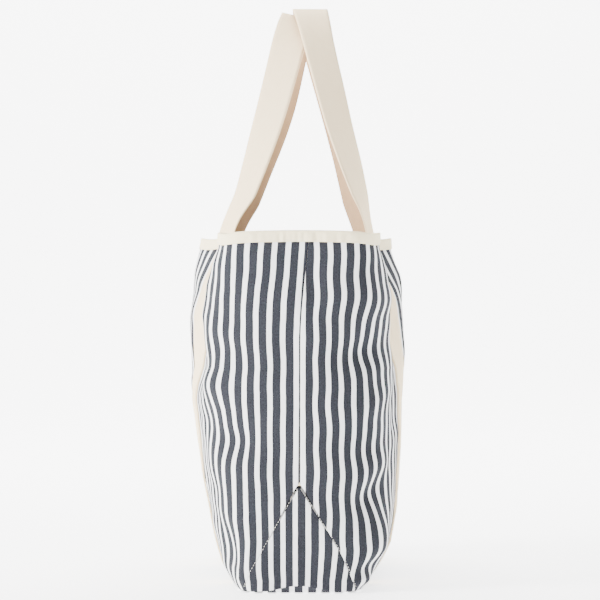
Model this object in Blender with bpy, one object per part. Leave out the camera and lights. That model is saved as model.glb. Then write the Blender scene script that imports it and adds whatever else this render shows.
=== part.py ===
"""A canvas tote bag with webbing handles, modelled piece by piece.

Metres, +Z up. X runs along the bag's width and -Y is its front. The origin is on the floor under
the middle of the base. The body of the bag is one surface, body_point(), and every cloth piece
is a stretch of it with a thickness, so the pieces follow each other when a size changes.
"""
import math

import bpy
import numpy as np

# Body of the bag
RIM_HEIGHT = 0.370          # cut edge of the panels above the floor
RIM_HALF_WIDTH = 0.230      # middle to end, at the rim
BASE_HALF_WIDTH = 0.226     # middle to end, at the base
RIM_HALF_DEPTH = 0.103      # middle of the bag to the panel, at the rim
BULGE_HALF_DEPTH = 0.1165   # the same, where the panels bulge most
BASE_HALF_DEPTH = 0.069     # the same, at the base
BULGE_HEIGHT = 0.245        # height of the widest bulge
CLOTH = 0.0012              # thickness of the panels and gussets
BASE_CLOTH = 0.0016         # thickness of the base panel
STRAP_PULL = 0.018          # how far the handles draw the rim in, from the straps outwards
PINCH = 0.020               # how much deeper the valley is that each strap lies in near the rim

# Triangular gusset let into the foot of each side seam
GUSSET_HEIGHT = 0.106
GUSSET_HALF_BASE = 0.061
GUSSET_TIP_HALF = 0.0012

# Tape folded over the rim
BINDING_HEIGHT = 0.012
TAPE = 0.0009

# Webbing: four sewn legs and two loops
WEBBING_WIDTH = 0.038
WEBBING = 0.0020
STRAP_CENTRE = 0.110        # middle of the panel to the middle of a strap, along the cloth
STRAP_FOOT = 0.006          # height where a leg goes into the base seam
HANDLE_RISE = 0.2385        # hinge to the front crown
FRONT_CROWN_Y = 0.000
BACK_CROWN_Y = 0.011
CROWN_TILT = math.radians(16.0)   # the lower crown slopes down under the upper one
TWIST_END = 0.75            # share of the rise by which a leg has made its quarter turn
CROWN_GAP = 0.0010          # clear space between the crossed crowns
LEAN_POWER = 1.4            # how early a leg leans in: more is nearer to the rim

# Clearances
SEAM_GAP = 0.0008           # between pieces that are sewn edge to edge
LAY_GAP = 0.0003            # between the binding and the panels it folds over
STRAP_GAP = 0.0006          # between a strap leg and the cloth or binding under it
HINGE_GAP = 0.0005          # leg's end to the hinge line, and hinge line to the loop's end
HINGE_RISE = 0.0020         # hinge line above the top of the binding

BULGE_CORNER_POWER = 3.0    # roundness of the plan: 2 is an ellipse, more is squarer
RIM_CORNER_POWER = 4.6
BASE_CORNER_POWER = 7.5
CORNER_FADE = 0.060         # height in which the base's square corners round off
BULGE_POWER = 1.9           # fullness of the side below the bulge
DRAW_IN_POWER = 1.5         # how late the body draws in, and squares up, above the bulge
FLARE_POWER = 3             # how near to the base the ends flare
PULL_FULL = 0.110           # from the middle the pull grows to here, and is whole from here on
PULL_START = 0.54           # share of the height below which no pull is felt
PULL_POWER = 4              # how fast the pull fades below the rim, and round the end
PINCH_AT = 0.125            # middle of the bag to the valley's bottom
PINCH_REACH = 0.030         # half the valley's width
PINCH_EARLY = 1.35          # how much lower on the panel the valley starts than the pull

PANEL_FOOT = BASE_CLOTH + SEAM_GAP / 2
COLLAR = RIM_HEIGHT - BINDING_HEIGHT - 0.004   # above this the panels stand straight
LIFT_RISE = 0.016           # height over which a strap climbs from the panel to the binding
PROBE = 0.001               # step for measuring directions on the cloth
PLAN_STEPS = 600
END_COLUMNS = 12
GUSSET_COLUMNS = 9
LOOP_STEPS = 56


def smooth(t):
    """0 below 0, 1 above 1 and an S-shaped rise between."""
    t = np.clip(t, 0, 1)
    return t * t * (3 - 2 * t)


def half_depth(z):
    """Middle of the bag to the panel: an elliptic swell to the bulge, then a slow draw-in."""
    if z <= BULGE_HEIGHT:
        rest = 1 - z / BULGE_HEIGHT
        share = (1 - rest ** BULGE_POWER) ** (1 / BULGE_POWER)
        return BASE_HALF_DEPTH + (BULGE_HALF_DEPTH - BASE_HALF_DEPTH) * share
    share = (z - BULGE_HEIGHT) / (RIM_HEIGHT - BULGE_HEIGHT)
    return BULGE_HALF_DEPTH + (RIM_HALF_DEPTH - BULGE_HALF_DEPTH) * share ** DRAW_IN_POWER


def half_width(z):
    """Middle of the bag to its end: most of the flare is near the base."""
    share = 1 - (1 - z / RIM_HEIGHT) ** FLARE_POWER
    return BASE_HALF_WIDTH + (RIM_HALF_WIDTH - BASE_HALF_WIDTH) * share


def plan_quarter(z):
    """A quarter of the plan at a height, from (0, depth) to (width, 0): x, y and arc length.

    It is a superellipse, drawn in towards the rim where the handles pull on it.
    """
    z = min(z, COLLAR)
    turn = smooth(np.linspace(0, 1, PLAN_STEPS)) * math.pi / 2
    above = max(z - BULGE_HEIGHT, 0) / (COLLAR - BULGE_HEIGHT)
    power = (
        BULGE_CORNER_POWER
        + (RIM_CORNER_POWER - BULGE_CORNER_POWER) * above ** DRAW_IN_POWER
        + (BASE_CORNER_POWER - BULGE_CORNER_POWER) * math.exp(-z / CORNER_FADE)
    )
    x = half_width(z) * np.sin(turn) ** (2 / power)
    y = half_depth(z) * np.clip(np.cos(turn), 0, 1) ** (2 / power)
    up = max((z / COLLAR - PULL_START) / (1 - PULL_START), 0)
    pull = STRAP_PULL * up ** PULL_POWER * smooth(x / PULL_FULL) * (y / y[0]) ** PULL_POWER
    pinch = PINCH * smooth(up * PINCH_EARLY) * np.exp(-((x - PINCH_AT) / PINCH_REACH) ** 2)
    y -= pull + pinch
    arc = np.concatenate([[0], np.cumsum(np.hypot(np.diff(x), np.diff(y)))])
    return x, y, arc


def gusset_half(z):
    """Half the width of the gusset at a height."""
    return max(GUSSET_HALF_BASE * (1 - z / GUSSET_HEIGHT), 0)


def panel_end(z):
    """Arc length from the panel's middle to its edge at a height."""
    room = gusset_half(z) + SEAM_GAP if z < GUSSET_HEIGHT else 0
    return plan_quarter(z)[2][-1] - SEAM_GAP / 2 - room


def body_point(s, z, side, out=0.0):
    """A point of the body: s along the cloth from the panel's middle, side -1 front or 1 back.

    It stands out from the cloth by out, along the cloth's outward normal.
    """
    x, y, arc = plan_quarter(z)
    here = np.array([math.copysign(np.interp(abs(s), arc, x), s), side * np.interp(abs(s), arc, y), z])
    if out == 0:
        return here
    ahead, behind = (body_point(s + e, z, side) for e in (PROBE, -PROBE))
    x, y, arc = plan_quarter(z + PROBE)
    above_x, above_y = np.interp(abs(s), arc, x), np.interp(abs(s), arc, y)
    above = np.array([math.copysign(above_x, s), side * above_y, z + PROBE])
    normal = np.cross(ahead - behind, above - here)
    normal *= math.copysign(1, side * normal[1]) / np.linalg.norm(normal)
    return here + out * normal


def panel_rows():
    """Heights of the rows of a panel, close together where its foot turns under."""
    foot = [PANEL_FOOT, STRAP_FOOT, 0.012, 0.020, 0.032, 0.050, 0.076]
    wall = list(np.linspace(GUSSET_HEIGHT, BULGE_HEIGHT, 5))
    top = list(np.linspace(BULGE_HEIGHT, COLLAR, 5))[1:] + [RIM_HEIGHT]
    return [z for z in foot if z < GUSSET_HEIGHT - 0.004] + wall + top


def panel_columns(z):
    """Places across a panel at a height: fixed ones to the straps, even ones round the end."""
    half = WEBBING_WIDTH / 2
    inner = [0, (STRAP_CENTRE - half) / 3, (STRAP_CENTRE - half) * 2 / 3]
    strap = [STRAP_CENTRE - half, STRAP_CENTRE, STRAP_CENTRE + half]
    end = list(np.linspace(STRAP_CENTRE + half, panel_end(z), END_COLUMNS))[1:]
    right = inner + strap + end
    return [-s for s in right[:0:-1]] + right


def material(name, colour, roughness):
    m = bpy.data.materials.new(name)
    m.use_nodes = True
    shader = m.node_tree.nodes["Principled BSDF"]
    shader.inputs["Base Color"].default_value = (*colour, 1)
    shader.inputs["Roughness"].default_value = roughness
    shader.inputs["Metallic"].default_value = 0
    return m


def add_object(name, points, faces, finish, pivot=(0, 0, 0)):
    """A mesh object whose origin is at pivot and whose points are given in world coordinates."""
    mesh = bpy.data.meshes.new(name)
    mesh.from_pydata([tuple(np.subtract(p, pivot)) for p in points], [], faces)
    mesh.materials.append(finish)
    obj = bpy.data.objects.new(name, mesh)
    obj.location = pivot
    bpy.context.collection.objects.link(obj)
    return obj


def add_sheet(name, grid, thickness, finish):
    """A grid of outer points, given row by row from the foot up, thickened inwards.

    Its faces are triangles, split the same way as those of the straps that lie on it.
    """
    rows, columns = len(grid), len(grid[0])
    faces = []
    for r in range(rows - 1):
        for c in range(columns - 1):
            low, high = r * columns + c, (r + 1) * columns + c
            faces += [(low, low + 1, high), (low + 1, high + 1, high)]
    obj = add_object(name, [p for row in grid for p in row], faces, finish)
    solid = obj.modifiers.new("cloth", "SOLIDIFY")
    solid.thickness = thickness
    solid.offset = -1
    solid.use_even_offset = True
    return obj


def add_bar(name, rings, finish, closed=False, pivot=(0, 0, 0)):
    """A solid carried through rings of points, with its ends capped or joined to each other.

    Its sides are triangles, so that a twisted bar has only one shape.
    """
    count, sides = len(rings), len(rings[0])
    faces = []
    for r in range(count if closed else count - 1):
        for k in range(sides):
            low, high = r * sides, (r + 1) % count * sides
            after = (k + 1) % sides
            faces += [(low + k, low + after, high + after), (low + k, high + after, high + k)]
    if not closed:
        faces += [tuple(range(sides))[::-1], tuple((count - 1) * sides + k for k in range(sides))]
    return add_object(name, [p for ring in rings for p in ring], faces, finish, pivot)


def make_panel(name, side, finish):
    """A panel from one side seam round the face of the bag to the other."""
    grid = [[body_point(s, z, side) for s in panel_columns(z)] for z in panel_rows()]
    if side > 0:
        grid = [row[::-1] for row in grid]
    return add_sheet(name, grid, CLOTH, finish)


def make_gusset(name, end, finish):
    """The triangle at one end of the bag, from the base up to the foot of the side seam."""
    grid = []
    for z in [z for z in panel_rows() if z < GUSSET_HEIGHT] + [GUSSET_HEIGHT - SEAM_GAP * 4]:
        half = max(gusset_half(z), GUSSET_TIP_HALF)
        whole = plan_quarter(z)[2][-1]
        steps = np.linspace(-half, half, GUSSET_COLUMNS)
        grid.append([body_point(end * (whole - abs(d)), z, math.copysign(1, d)) for d in steps])
    if end < 0:
        grid = [row[::-1] for row in grid]
    return add_sheet(name, grid, CLOTH, finish)


def rim_outline():
    """The rim's outer edge as points and outward normals, anticlockwise from the left seam."""
    columns = panel_columns(RIM_HEIGHT)
    front = [body_point(s, RIM_HEIGHT, -1)[:2] for s in columns]
    back = [body_point(s, RIM_HEIGHT, 1)[:2] for s in columns[::-1]]
    loop = np.array(front + back)
    along = np.roll(loop, -1, 0) - np.roll(loop, 1, 0)
    normal = np.stack([along[:, 1], -along[:, 0]], 1)
    return loop, normal / np.linalg.norm(normal, axis=1)[:, None]


def make_base(finish):
    """The flat panel that the bag stands on, as wide as the foot of the panels and gussets."""
    columns = panel_columns(PANEL_FOOT)
    whole = plan_quarter(PANEL_FOOT)[2][-1]
    right = list(np.linspace(columns[-1], whole, GUSSET_COLUMNS // 2 + 1))[1:]
    across = [-s for s in right[::-1]] + columns + right
    front = [body_point(s, PANEL_FOOT, -1)[:2] for s in across]
    back = [body_point(s, PANEL_FOOT, 1)[:2] for s in across[-2:0:-1]]
    rings = [[(x, y, z) for x, y in front + back] for z in (0.0, BASE_CLOTH)]
    return add_bar("base_panel", rings, finish)


def make_binding(finish):
    """Tape folded over the rim: a channel that runs all round, open downwards."""
    loop, normal = rim_outline()
    outer, inner = LAY_GAP, -CLOTH - LAY_GAP
    low, roof = RIM_HEIGHT - BINDING_HEIGHT, RIM_HEIGHT + LAY_GAP
    channel = [
        (outer + TAPE, low), (outer + TAPE, roof + TAPE),
        (inner - TAPE, roof + TAPE), (inner - TAPE, low),
        (inner, low), (inner, roof),
        (outer, roof), (outer, low),
    ]
    rings = [[(*(p + n * d), z) for d, z in channel[::-1]] for p, n in zip(loop, normal)]
    return add_bar("rim_binding", rings, finish, closed=True)


def strap_lift(z):
    """Gap from the panel to a strap leg: it climbs over the binding near the rim."""
    share = min(max((z - COLLAR + LIFT_RISE) / LIFT_RISE, 0), 1)
    return STRAP_GAP + (LAY_GAP + TAPE) * share


def strap_top():
    return RIM_HEIGHT + LAY_GAP + TAPE + HINGE_RISE - HINGE_GAP


def make_strap(name, side, end, finish):
    """A webbing leg sewn flat on a panel, from the base seam up past the binding."""
    half = WEBBING_WIDTH / 2
    across = [end * STRAP_CENTRE + d for d in (-half, 0, half)]
    rings = []
    for z in [z for z in panel_rows() if z >= STRAP_FOOT] + [strap_top()]:
        on = min(z, RIM_HEIGHT)
        lift = strap_lift(on)
        near = [body_point(s, on, side, lift) for s in across]
        far = [body_point(s, on, side, lift + WEBBING) for s in across[::-1]]
        rings.append([p + np.array([0, 0, z - on]) for p in near + far])
    if side < 0:
        rings = [ring[::-1] for ring in rings]
    return add_bar(name, rings, finish)


def hinge_line(side):
    """A point on the line where a handle folds: just outside the face of its strap legs."""
    half, out = WEBBING_WIDTH / 2, strap_lift(RIM_HEIGHT) + WEBBING
    face = max(abs(body_point(STRAP_CENTRE + d, RIM_HEIGHT, side, out)[1]) for d in (-half, 0, half))
    return np.array([0, side * (face + HINGE_GAP), strap_top() + HINGE_GAP])


def make_handle(name, side, crown_y, extra, tilt, finish):
    """A webbing loop over the mouth: half an ellipse that leans in and turns a quarter on each leg.

    At an angle a round the half ellipse, from the right leg's foot to the left one's, x is
    STRAP_CENTRE times cos a and the height is the rise times sin a. The lean to the crown is
    a power of the height that is left. The width turns from along the rim to across the bag,
    and near the crown it tilts, so that its +Y edge is lower.
    """
    hinge = hinge_line(side)
    foot = body_point(STRAP_CENTRE, RIM_HEIGHT, side, strap_lift(RIM_HEIGHT) + WEBBING / 2)
    inner, outer = (body_point(STRAP_CENTRE + e, RIM_HEIGHT, side) for e in (-PROBE, PROBE))
    splay = math.atan2(side * (outer - inner)[1], (outer - inner)[0])
    rise = HANDLE_RISE + extra
    start = math.asin(HINGE_GAP / rise)
    angles = np.linspace(start, math.pi - start, LOOP_STEPS + 1)
    up = np.sin(angles)
    path = np.stack([
        (foot[0] + extra * up) * np.cos(angles),
        crown_y + (foot[1] - crown_y) * np.maximum(1 - up, 0) ** LEAN_POWER,
        hinge[2] + rise * up,
    ], 1)
    along = np.gradient(path, axis=0)
    along /= np.linalg.norm(along, axis=1)[:, None]
    quarter = splay + (math.pi / 2 - splay) * smooth(up / TWIST_END)
    turn = np.where(np.cos(angles) >= 0, quarter, math.pi - quarter)
    rings = []
    for place, way, angle, height in zip(path, along, turn, up):
        flat = np.array([math.cos(angle), -side * math.sin(angle), 0])
        flat = flat - way * (flat @ way)
        flat /= np.linalg.norm(flat)
        outward = np.cross(way, flat) * side
        lean = tilt * height ** 3
        wide = flat * math.cos(lean) - outward * math.sin(lean)
        w, t = wide * WEBBING_WIDTH / 2, np.cross(way, wide) * side * WEBBING / 2
        rings.append([place - w - t, place + w - t, place + w + t, place - w + t])
    if side < 0:
        rings = [ring[::-1] for ring in rings]
    return add_bar(name, rings, finish, pivot=tuple(hinge))


def main():
    for obj in list(bpy.data.objects):
        bpy.data.objects.remove(obj)
    canvas = material("striped_canvas", (0.28, 0.30, 0.36), 0.9)
    tape = material("natural_tape", (0.80, 0.76, 0.68), 0.9)
    webbing = material("natural_webbing", (0.82, 0.78, 0.70), 0.85)
    for name, side in (("front", -1), ("back", 1)):
        make_panel(name + "_panel", side, canvas)
        for hand, end in (("left", -1), ("right", 1)):
            make_strap(f"{name}_{hand}_strap", side, end, webbing)
    make_gusset("left_end_gusset", -1, canvas)
    make_gusset("right_end_gusset", 1, canvas)
    make_base(canvas)
    make_binding(tape)
    make_handle("front_handle", -1, FRONT_CROWN_Y, 0.0, CROWN_TILT, webbing)
    over = WEBBING + CROWN_GAP + WEBBING_WIDTH / 2 * math.tan(CROWN_TILT)
    make_handle("back_handle", 1, BACK_CROWN_Y, over, 0.0, webbing)


main()
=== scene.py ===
"""Looks of a striped canvas tote bag: cloth panels, taped rim, webbing, stitching and a studio.

Every piece of cloth is a stretch of one body surface. A place on it is given by q, the distance
round the bag from the right end's middle (negative over the front, positive over the back), and
by z, the height. skin() turns q and z into a point, with the folds of the cloth in it.
"""
import math

import bmesh
import bpy
import numpy as np
from bpy.props import FloatProperty, FloatVectorProperty, PointerProperty
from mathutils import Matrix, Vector


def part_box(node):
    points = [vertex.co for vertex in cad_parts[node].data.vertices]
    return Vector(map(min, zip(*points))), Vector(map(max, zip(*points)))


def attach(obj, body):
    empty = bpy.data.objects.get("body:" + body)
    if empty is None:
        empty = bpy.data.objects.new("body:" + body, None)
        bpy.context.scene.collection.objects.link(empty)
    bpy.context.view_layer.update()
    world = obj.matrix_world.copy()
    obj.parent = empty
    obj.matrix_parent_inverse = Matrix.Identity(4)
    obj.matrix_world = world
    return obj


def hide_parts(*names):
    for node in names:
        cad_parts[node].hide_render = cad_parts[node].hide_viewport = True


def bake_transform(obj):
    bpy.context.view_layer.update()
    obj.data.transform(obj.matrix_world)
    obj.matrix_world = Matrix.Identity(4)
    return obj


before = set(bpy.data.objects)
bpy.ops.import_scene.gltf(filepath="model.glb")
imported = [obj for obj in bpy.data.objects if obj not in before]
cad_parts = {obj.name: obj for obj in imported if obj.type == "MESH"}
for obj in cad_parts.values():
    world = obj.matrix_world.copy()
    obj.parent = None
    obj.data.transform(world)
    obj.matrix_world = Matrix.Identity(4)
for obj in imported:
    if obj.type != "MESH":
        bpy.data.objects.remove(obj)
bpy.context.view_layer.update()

bl_info = {
    "name": "Canvas tote bag",
    "version": (1, 0, 0),
    "blender": (4, 5, 0),
    "location": "3D View > Sidebar > Tote Bag",
    "description": "Cloth, tape, webbing and stitching of a striped canvas tote bag",
    "category": "Object",
}


def corners(box):
    """A box as two plain lists of numbers."""
    return [[float(v) for v in corner] for corner in box]


# The CAD model's box and the sizes that the cloth takes from it
PANEL_BOX = corners(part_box("back_panel"))
BASE_BOX = corners(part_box("base_panel"))
GUSSET_BOX = corners(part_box("right_end_gusset"))
STRAP_BOX = corners(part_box("front_right_strap"))
CROWN_TOP = {-1: corners(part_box("front_handle"))[1][2], 1: corners(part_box("back_handle"))[1][2]}

RIM_TOP = PANEL_BOX[1][2]
RIM_HALF_WIDTH = PANEL_BOX[1][0]
BULGE_HALF_DEPTH = PANEL_BOX[1][1]
BASE_HALF_WIDTH = BASE_BOX[1][0]
TIP_RISE = 0.0062      # the cloth gusset's tip over the CAD's
GUSSET_TOP = GUSSET_BOX[1][2] + TIP_RISE
STRAP_CENTRE = (STRAP_BOX[0][0] + STRAP_BOX[1][0]) / 2 + 0.001

BULGE_HEIGHT = 0.245
RIM_HALF_DEPTH = 0.103
BASE_HALF_DEPTH = 0.069
COLLAR = RIM_TOP - 0.016
SWELL_POWER = 1.9      # roundness of a face's side view, up to the bulge
ROW_POWER = 1.6        # the plan table's rows lie closer together near the foot
STRAP_PULL = 0.018     # how far the handles' pull draws the cloth in at the rim
PULL_START = 0.54      # share of the height where that begins
PULL_FULL = 0.110      # how far out from the middle it is at its full
PINCH = 0.024          # depth of the valley that each strap lies in
PINCH_AT = 0.124
PINCH_REACH = 0.030
SEAM_DIP = 0.0005      # how far the cloth dips at a seam
SEAM_GAP = 0.00005     # between a panel's edge and the gusset's
FOOT_RISE = 0.0018     # the base seam over the floor
GUSSET_HALF_BASE = 0.068
QUARTER = 0.298        # cloth from the middle of a panel to the middle of an end
SLOPE_STEP = 0.0015    # how far apart the surface is sampled for its normal
CANVAS_YARNS = (0.00052, 0.00056)      # warp and weft pitch
WEBBING_YARNS = (0.00125, 0.0008)
TAPE_YARNS = (0.0011, 0.0006)
SIDE_NAME = {-1: "front", 1: "back"}
END_NAME = {-1: "left", 1: "right"}


def smooth(t):
    """0 below 0, 1 above 1 and an S-shaped rise between."""
    t = np.clip(t, 0, 1)
    return t * t * (3 - 2 * t)


def bell(t, middle, width):
    """A Gaussian bump: 1 at the middle, 0.37 a width away."""
    return np.exp(-((t - middle) / width) ** 2)


# --- The body surface -------------------------------------------------------------------------

def half_depth(z):
    """Middle of the bag to a panel: an elliptic swell up to the bulge, then a slow draw-in."""
    low = (1 - np.clip(1 - z / BULGE_HEIGHT, 0, 1) ** SWELL_POWER) ** (1 / SWELL_POWER)
    high = np.clip((z - BULGE_HEIGHT) / (RIM_TOP - BULGE_HEIGHT), 0, 1) ** 1.5
    below = BASE_HALF_DEPTH + (BULGE_HALF_DEPTH - BASE_HALF_DEPTH) * low
    above = BULGE_HALF_DEPTH + (RIM_HALF_DEPTH - BULGE_HALF_DEPTH) * high
    return np.where(z < BULGE_HEIGHT, below, above)


def plan_table(rows=340, columns=440):
    """Tables of x, y and quarter length over height (rows) and even steps of arc (columns).

    At each height the plan is a superellipse: x is the half width times sin of the turn, y the
    half depth times cos of the turn, each to the power 2 over the corner power. Near the rim the
    handles draw it in, from the straps to the ends, and each strap lies in a valley.
    """
    z = RIM_TOP * np.linspace(0, 1, rows) ** ROW_POWER
    level = np.minimum(z, COLLAR)[:, None]
    share = np.linspace(0, 1, 900)
    turn = smooth(share) * math.pi / 2
    above = np.clip((level - BULGE_HEIGHT) / (COLLAR - BULGE_HEIGHT), 0, 1)
    power = 3.0 + 1.6 * above ** 1.5 + 4.5 * np.exp(-level / 0.060)
    flare = 1 - (1 - level / RIM_TOP) ** 3
    x = (BASE_HALF_WIDTH + (RIM_HALF_WIDTH - BASE_HALF_WIDTH) * flare) * np.sin(turn) ** (2 / power)
    y = half_depth(level) * np.clip(np.cos(turn), 0, 1) ** (2 / power)
    up = np.clip((level / COLLAR - PULL_START) / (1 - PULL_START), 0, 1)
    y = y - STRAP_PULL * up ** 4 * smooth(x / PULL_FULL) * (y / y[:, :1]) ** 4
    y = y - PINCH * smooth(up * 1.5) * (1 - 0.2 * smooth(up)) * bell(x, PINCH_AT, PINCH_REACH)
    step = np.hypot(np.diff(x, axis=1), np.diff(y, axis=1))
    arc = np.concatenate([np.zeros((rows, 1)), np.cumsum(step, axis=1)], axis=1)
    even = np.linspace(0, 1, columns)
    table_x = np.stack([np.interp(even * a[-1], a, row) for a, row in zip(arc, x)])
    table_y = np.stack([np.interp(even * a[-1], a, row) for a, row in zip(arc, y)])
    return z, table_x, table_y, arc[:, -1]


TABLE_Z, TABLE_X, TABLE_Y, TABLE_QUARTER = plan_table()


def quarter(z):
    """Arc length of a quarter of the plan at a height."""
    return np.interp(z, TABLE_Z, TABLE_QUARTER)


def look_up(table, z, t):
    """A value between a table's four nearest entries, at height z and arc share t."""
    rows, columns = table.shape
    r = (np.clip(z, 0, RIM_TOP) / RIM_TOP) ** (1 / ROW_POWER) * (rows - 1)
    c = np.clip(t, 0, 1) * (columns - 1)
    r0 = np.minimum(r.astype(int), rows - 2)
    c0 = np.minimum(c.astype(int), columns - 2)
    fr, fc = r - r0, c - c0
    low = table[r0, c0] * (1 - fc) + table[r0, c0 + 1] * fc
    high = table[r0 + 1, c0] * (1 - fc) + table[r0 + 1, c0 + 1] * fc
    return low * (1 - fr) + high * fr


def from_seam(q, z):
    """Distance along the cloth to the nearer side seam, and whether that is the right one."""
    around = 2 * quarter(z)
    right = np.abs(q) < around / 2
    return np.where(right, np.abs(q), around - np.abs(q)), right


# How much further out than the CAD's shape the front and the back stand, by height
SET_HEIGHTS = (0.004, 0.013, 0.024, 0.045, 0.080, 0.120, 0.160, 0.178, 0.194, 0.212, 0.230, 0.250,
               0.265, 0.283, 0.300, 0.309, 0.318, 0.327, 0.335, 0.344, 0.353, 0.362, 0.370)
SET_OUT = {
    -1: (-0.0086, -0.0094, -0.0079, -0.0082, -0.0080, -0.0050, -0.0035, -0.0028, -0.0010, -0.0011, -0.0026,
         0.0002, 0.0025, 0.0045, 0.0037, 0.0035, 0.0048, 0.0052, 0.0051, 0.0049, 0.0045, 0.0022, 0.0010),
    1: (-0.0070, -0.0069, -0.0041, 0.0007, -0.0009, -0.0023, -0.0037, -0.0050, -0.0056, -0.0046, -0.0022,
        -0.0033, -0.0034, -0.0030, -0.0008, -0.0005, -0.0012, -0.0016, -0.0025, -0.0036, -0.0045, -0.0054,
        -0.0054),
}


def set_out(q, z):
    """How far the cloth stands off the CAD's shape across the bag.

    It follows SET_OUT by height. Near the rim that fades away from a panel's middle, and bells
    along the panel shape its shoulders and the cloth beside the straps.
    """
    out = np.where(q < 0, np.interp(z, SET_HEIGHTS, SET_OUT[-1]), np.interp(z, SET_HEIGHTS, SET_OUT[1]))
    m, right = from_seam(q, z)
    across = quarter(z) - m
    top = smooth((z - 0.285) / 0.050)
    flatter = 0.0045 * bell(across, 0.140, 0.016) - 0.0080 * bell(across, 0.082, 0.022)
    deeper = np.where(right, -0.0045 * bell(across, 0.110, 0.026), -0.0100 * bell(across, 0.112, 0.034))
    shoulder = 0.0050 * bell(across, 0.050, 0.022)
    beside = np.where(right & (q > 0), flatter, deeper)
    return out * (1 - top * (1 - bell(across, 0, 0.125))) + top * (shoulder + beside)


def place(q, z):
    """The point of the smooth body at q and z, as an array with x, y, z last."""
    q, z = np.broadcast_arrays(np.asarray(q, float), np.asarray(z, float))
    round_it = np.abs(q) / quarter(z)
    t = np.abs(1 - round_it)
    x = np.sign(1 - round_it) * look_up(TABLE_X, z, t)
    deep = look_up(TABLE_Y, z, t)
    y = np.where(q < 0, -1, 1) * deep * (1 + set_out(q, z) / half_depth(z))
    return np.stack([x, y, z], -1)


def seam_drift(z):
    """How far the near side seam wanders off the middle of its end, towards the back, at the top."""
    return 0.0100 * smooth((z - 0.250) / 0.150) + 0.0012 * smooth((z - 0.10) / 0.10)


def gusset_half(z):
    """Half the width of an end gusset at a height."""
    return GUSSET_HALF_BASE * np.clip(1 - z / GUSSET_TOP, 0, 1)


# Folds: side (-1 front, 1 back), end (1 right, -1 left, 0 both), distance from the side seam and
# height of the middle, half length along and across, turn of its long axis from level, and how
# far it stands out. All in metres and degrees.
FOLDS = [
    (1, 1, 0.078, 0.012, 0.018, 0.009, 0, 0.0070), (-1, 1, 0.070, 0.010, 0.012, 0.008, 0, 0.0025),
    (-1, 1, 0.066, 0.288, 0.020, 0.020, 20, -0.0045), (-1, 1, 0.100, 0.262, 0.026, 0.016, -25, 0.0030),
    (-1, 1, 0.102, 0.214, 0.026, 0.023, -35, 0.0085), (-1, 1, 0.064, 0.158, 0.024, 0.016, -15, -0.0080),
    (-1, 1, 0.094, 0.132, 0.030, 0.016, 20, 0.0035), (-1, 1, 0.070, 0.090, 0.034, 0.022, 60, 0.0025),
    (-1, 1, 0.084, 0.040, 0.016, 0.026, -30, -0.0060), (-1, 1, 0.066, 0.020, 0.012, 0.014, 10, 0.0035),
    (1, 1, 0.076, 0.302, 0.030, 0.018, 10, 0.0040), (1, 1, 0.068, 0.246, 0.034, 0.016, 15, -0.0085),
    (1, 1, 0.090, 0.196, 0.032, 0.020, 20, 0.0065), (1, 1, 0.060, 0.150, 0.026, 0.020, 10, -0.0020),
    (1, 1, 0.080, 0.100, 0.030, 0.013, 25, -0.0085), (1, 1, 0.092, 0.056, 0.026, 0.018, 35, 0.0070),
    (1, 1, 0.100, 0.132, 0.020, 0.014, 0, 0.0030), (1, 1, 0.076, 0.024, 0.020, 0.010, 20, -0.0040),
    (1, 1, 0.012, 0.318, 0.012, 0.028, 0, -0.0030), (1, 1, 0.030, 0.345, 0.012, 0.030, 0, 0.0012),
    (1, -1, 0.070, 0.268, 0.028, 0.018, -20, -0.0060), (1, -1, 0.098, 0.220, 0.030, 0.020, 25, 0.0070),
    (1, -1, 0.070, 0.150, 0.028, 0.015, 10, -0.0075), (1, -1, 0.088, 0.090, 0.030, 0.018, -20, 0.0055),
    (-1, -1, 0.078, 0.300, 0.026, 0.018, -10, 0.0040), (-1, -1, 0.072, 0.236, 0.032, 0.016, -20, -0.0080),
    (-1, -1, 0.094, 0.180, 0.028, 0.020, -30, 0.0065), (-1, -1, 0.070, 0.110, 0.030, 0.015, -15, -0.0070),
    (-1, 0, 0.215, 0.305, 0.020, 0.060, 10, 0.0030), (-1, 0, 0.290, 0.200, 0.060, 0.050, 0, 0.0030),
    (1, 0, 0.225, 0.290, 0.022, 0.060, -8, 0.0030), (1, 0, 0.280, 0.150, 0.070, 0.030, 12, -0.0040),
    (-1, 0, 0.240, 0.120, 0.060, 0.022, -14, -0.0040), (-1, 0, 0.290, 0.060, 0.080, 0.020, 5, 0.0030),
    (1, 0, 0.250, 0.070, 0.070, 0.020, -8, 0.0030), (-1, 0, 0.150, 0.235, 0.026, 0.045, 25, -0.0030),
    (1, 0, 0.150, 0.215, 0.024, 0.050, -20, -0.0030),
]


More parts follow.
